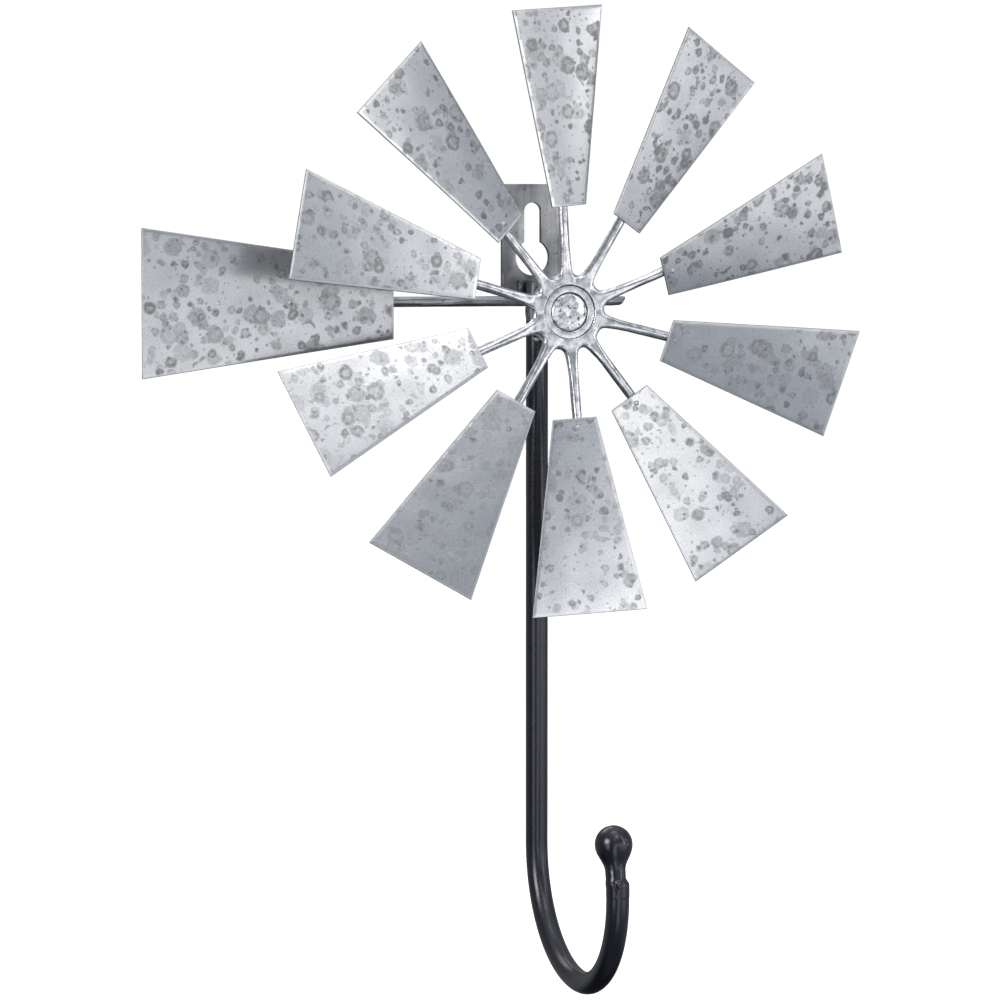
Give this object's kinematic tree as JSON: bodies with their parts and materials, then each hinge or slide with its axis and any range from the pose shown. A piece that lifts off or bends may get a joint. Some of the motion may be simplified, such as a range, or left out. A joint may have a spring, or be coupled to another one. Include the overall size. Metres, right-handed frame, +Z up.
{
  "type": "windmill wall hook",
  "caption": "Wall hook with a galvanised pinwheel that spins in front of a black J-shaped bar, a flat tail vane at the left and a keyhole plate for hanging.",
  "frame": {"origin": "centre of the keyhole slot's upper round end, on the wall plane (the back face of the wall plate), where the hanging screw sits", "axes": "+Z up along the hook's bar, +Y into the wall, so the wheel faces -Y, and +X to the right seen from the front"},
  "size_m": [0.2087, 0.072, 0.2833],
  "materials": {
    "galvanised_sheet": "mottled galvanised sheet, satin, with round darker stains",
    "cast_zinc": "bright zinc-coated casting, satin, slightly lumpy",
    "weld_metal": "rough bright weld bead",
    "black_paint": "satin black paint"
  },
  "bodies": {
    "hook_frame": {"wall_plate": "galvanised_sheet", "hook_rod": "black_paint", "hook_ball_end": "black_paint", "tail_rod": "galvanised_sheet", "tail_vane": "galvanised_sheet", "tail_spot_weld_1": "weld_metal", "tail_spot_weld_2": "weld_metal", "tail_spot_weld_3": "weld_metal", "axle_boss": "cast_zinc", "axle_pin": "cast_zinc", "thrust_washer": "cast_zinc", "boss_weld": "weld_metal", "tail_rod_weld": "weld_metal", "plate_weld_left": "weld_metal", "plate_weld_right": "weld_metal"},
    "wheel": {"hub_spider": "cast_zinc", "hub_bush": "cast_zinc", "blade_01": "galvanised_sheet", "blade_02": "galvanised_sheet", "blade_03": "galvanised_sheet", "blade_04": "galvanised_sheet", "blade_05": "galvanised_sheet", "blade_06": "galvanised_sheet", "blade_07": "galvanised_sheet", "blade_08": "galvanised_sheet", "blade_09": "galvanised_sheet", "blade_10": "galvanised_sheet", "blade_spot_weld_01": "weld_metal", "blade_spot_weld_02": "weld_metal", "blade_spot_weld_03": "weld_metal", "blade_spot_weld_04": "weld_metal", "blade_spot_weld_05": "weld_metal", "blade_spot_weld_06": "weld_metal", "blade_spot_weld_07": "weld_metal", "blade_spot_weld_08": "weld_metal", "blade_spot_weld_09": "weld_metal", "blade_spot_weld_10": "weld_metal"}
  },
  "joints": [
    {"name": "wheel_spin", "type": "hinge", "parent": "hook_frame", "child": "wheel", "pos_m": [0, -0.0306, -0.029], "axis": [0, -1, 0], "continuous": true}
  ]
}
